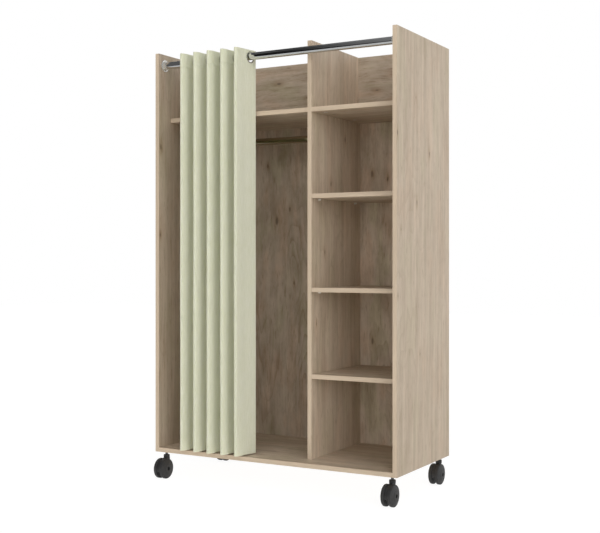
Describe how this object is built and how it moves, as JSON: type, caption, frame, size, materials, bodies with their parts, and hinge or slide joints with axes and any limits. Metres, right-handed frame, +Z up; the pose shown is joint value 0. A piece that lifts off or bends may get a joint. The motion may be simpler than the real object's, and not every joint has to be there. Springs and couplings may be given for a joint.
{
  "type": "curtain wardrobe",
  "caption": "Board wardrobe on castors: a hanging space behind an eyelet curtain on a rod, a hat shelf, a hanging rail and a column of shelves.",
  "frame": {"origin": "on the floor under the middle of the whole outline, curtain folds included", "axes": "+Z up, +Y from the open front to the back, +X to the right as seen from the front"},
  "size_m": [1, 0.507, 1.607],
  "materials": {
    "oak_board": "light oak printed melamine, satin",
    "oak_back": "light oak printed fibreboard, satin",
    "chrome_tube": "polished chrome",
    "rail_flange": "satin chrome",
    "shelf_pin": "pale plastic",
    "fitting_zinc": "zinc",
    "dowel_wood": "raw beech",
    "stem_steel": "dark steel",
    "castor_plastic": "charcoal plastic, satin",
    "wheel_plastic": "charcoal plastic, satin",
    "curtain_fabric": "pale green woven cloth",
    "eyelet_metal": "satin metal"
  },
  "bodies": {
    "carcass": {"left_side_panel": "oak_board", "right_side_panel": "oak_board", "divider_panel": "oak_board", "bottom_panel": "oak_board", "hat_shelf": "oak_board", "column_top_shelf": "oak_board", "upper_shelf": "oak_board", "middle_shelf": "oak_board", "lower_shelf": "oak_board", "hanging_back_rail": "oak_board", "column_back_rail": "oak_board", "hanging_back_panel": "oak_back", "column_back_panel": "oak_back", "curtain_rod": "chrome_tube", "hanging_rail": "chrome_tube", "curtain_rod_flange_left": "rail_flange", "curtain_rod_flange_right": "rail_flange", "hanging_rail_flange_left": "rail_flange", "hanging_rail_flange_right": "rail_flange", "shelf_pins": "shelf_pin", "cam_locks": "fitting_zinc", "cam_bolts": "fitting_zinc", "dowels": "dowel_wood", "castor_inserts": "fitting_zinc", "castor_stems": "stem_steel"},
    "castor_front_left": {"castor_front_left_hood": "castor_plastic", "castor_front_left_axle": "stem_steel"},
    "castor_front_left_wheel_left": {"castor_front_left_wheel_left": "wheel_plastic"},
    "castor_front_left_wheel_right": {"castor_front_left_wheel_right": "wheel_plastic"},
    "castor_front_right": {"castor_front_right_hood": "castor_plastic", "castor_front_right_axle": "stem_steel"},
    "castor_front_right_wheel_left": {"castor_front_right_wheel_left": "wheel_plastic"},
    "castor_front_right_wheel_right": {"castor_front_right_wheel_right": "wheel_plastic"},
    "castor_back_left": {"castor_back_left_hood": "castor_plastic", "castor_back_left_axle": "stem_steel"},
    "castor_back_left_wheel_left": {"castor_back_left_wheel_left": "wheel_plastic"},
    "castor_back_left_wheel_right": {"castor_back_left_wheel_right": "wheel_plastic"},
    "castor_back_right": {"castor_back_right_hood": "castor_plastic", "castor_back_right_axle": "stem_steel"},
    "castor_back_right_wheel_left": {"castor_back_right_wheel_left": "wheel_plastic"},
    "castor_back_right_wheel_right": {"castor_back_right_wheel_right": "wheel_plastic"},
    "curtain_trail": {"curtain": "curtain_fabric", "eyelet_01": "eyelet_metal"},
    "curtain_lead": {"eyelet_10": "eyelet_metal"},
    "curtain_ring_02": {"eyelet_02": "eyelet_metal"},
    "curtain_ring_03": {"eyelet_03": "eyelet_metal"},
    "curtain_ring_04": {"eyelet_04": "eyelet_metal"},
    "curtain_ring_05": {"eyelet_05": "eyelet_metal"},
    "curtain_ring_06": {"eyelet_06": "eyelet_metal"},
    "curtain_ring_07": {"eyelet_07": "eyelet_metal"},
    "curtain_ring_08": {"eyelet_08": "eyelet_metal"},
    "curtain_ring_09": {"eyelet_09": "eyelet_metal"}
  },
  "joints": [
    {"name": "castor_front_left_swivel", "type": "hinge", "parent": "carcass", "child": "castor_front_left", "pos_m": [-0.47, -0.1865, 0.075], "axis": [0, 0, 1], "continuous": true},
    {"name": "castor_front_left_wheel_left_spin", "type": "hinge", "parent": "castor_front_left", "child": "castor_front_left_wheel_left", "pos_m": [-0.4835, -0.2065, 0.0375], "axis": [1, 0, 0], "continuous": true},
    {"name": "castor_front_left_wheel_right_spin", "type": "hinge", "parent": "castor_front_left", "child": "castor_front_left_wheel_right", "pos_m": [-0.4565, -0.2065, 0.0375], "axis": [1, 0, 0], "continuous": true},
    {"name": "castor_front_right_swivel", "type": "hinge", "parent": "carcass", "child": "castor_front_right", "pos_m": [0.47, -0.1865, 0.075], "axis": [0, 0, 1], "continuous": true},
    {"name": "castor_front_right_wheel_left_spin", "type": "hinge", "parent": "castor_front_right", "child": "castor_front_right_wheel_left", "pos_m": [0.4565, -0.2065, 0.0375], "axis": [1, 0, 0], "continuous": true},
    {"name": "castor_front_right_wheel_right_spin", "type": "hinge", "parent": "castor_front_right", "child": "castor_front_right_wheel_right", "pos_m": [0.4835, -0.2065, 0.0375], "axis": [1, 0, 0], "continuous": true},
    {"name": "castor_back_left_swivel", "type": "hinge", "parent": "carcass", "child": "castor_back_left", "pos_m": [-0.47, 0.2235, 0.075], "axis": [0, 0, 1], "continuous": true},
    {"name": "castor_back_left_wheel_left_spin", "type": "hinge", "parent": "castor_back_left", "child": "castor_back_left_wheel_left", "pos_m": [-0.4835, 0.2035, 0.0375], "axis": [1, 0, 0], "continuous": true},
    {"name": "castor_back_left_wheel_right_spin", "type": "hinge", "parent": "castor_back_left", "child": "castor_back_left_wheel_right", "pos_m": [-0.4565, 0.2035, 0.0375], "axis": [1, 0, 0], "continuous": true},
    {"name": "castor_back_right_swivel", "type": "hinge", "parent": "carcass", "child": "castor_back_right", "pos_m": [0.47, 0.2235, 0.075], "axis": [0, 0, 1], "continuous": true},
    {"name": "castor_back_right_wheel_left_spin", "type": "hinge", "parent": "castor_back_right", "child": "castor_back_right_wheel_left", "pos_m": [0.4565, 0.2035, 0.0375], "axis": [1, 0, 0], "continuous": true},
    {"name": "castor_back_right_wheel_right_spin", "type": "hinge", "parent": "castor_back_right", "child": "castor_back_right_wheel_right", "pos_m": [0.4835, 0.2035, 0.0375], "axis": [1, 0, 0], "continuous": true},
    {"name": "curtain_slide", "type": "slide", "parent": "carcass", "child": "curtain_trail", "axis": [1, 0, 0], "range_m": [-0.085, 0.28]},
    {"name": "curtain_draw", "type": "slide", "parent": "curtain_trail", "child": "curtain_lead", "axis": [1, 0, 0], "range_m": [0, 0.28], "deforming": ["curtain"]},
    {"name": "ring_02_slide", "type": "slide", "parent": "curtain_trail", "child": "curtain_ring_02", "axis": [1, 0, 0], "range_m": [0, 0.0144]},
    {"name": "ring_03_slide", "type": "slide", "parent": "curtain_trail", "child": "curtain_ring_03", "axis": [1, 0, 0], "range_m": [0, 0.0341]},
    {"name": "ring_04_slide", "type": "slide", "parent": "curtain_trail", "child": "curtain_ring_04", "axis": [1, 0, 0], "range_m": [0, 0.0798]},
    {"name": "ring_05_slide", "type": "slide", "parent": "curtain_trail", "child": "curtain_ring_05", "axis": [1, 0, 0], "range_m": [0, 0.1124]},
    {"name": "ring_06_slide", "type": "slide", "parent": "curtain_trail", "child": "curtain_ring_06", "axis": [1, 0, 0], "range_m": [0, 0.1686]},
    {"name": "ring_07_slide", "type": "slide", "parent": "curtain_trail", "child": "curtain_ring_07", "axis": [1, 0, 0], "range_m": [0, 0.2012]},
    {"name": "ring_08_slide", "type": "slide", "parent": "curtain_trail", "child": "curtain_ring_08", "axis": [1, 0, 0], "range_m": [0, 0.2469]},
    {"name": "ring_09_slide", "type": "slide", "parent": "curtain_trail", "child": "curtain_ring_09", "axis": [1, 0, 0], "range_m": [0, 0.2666]}
  ],
  "couplings": [
    {"joint": "ring_02_slide", "follows": "curtain_draw", "ratio": 0.0495},
    {"joint": "ring_03_slide", "follows": "curtain_draw", "ratio": 0.1201},
    {"joint": "ring_04_slide", "follows": "curtain_draw", "ratio": 0.2831},
    {"joint": "ring_05_slide", "follows": "curtain_draw", "ratio": 0.3996},
    {"joint": "ring_06_slide", "follows": "curtain_draw", "ratio": 0.6004},
    {"joint": "ring_07_slide", "follows": "curtain_draw", "ratio": 0.7169},
    {"joint": "ring_08_slide", "follows": "curtain_draw", "ratio": 0.8799},
    {"joint": "ring_09_slide", "follows": "curtain_draw", "ratio": 0.9505}
  ]
}
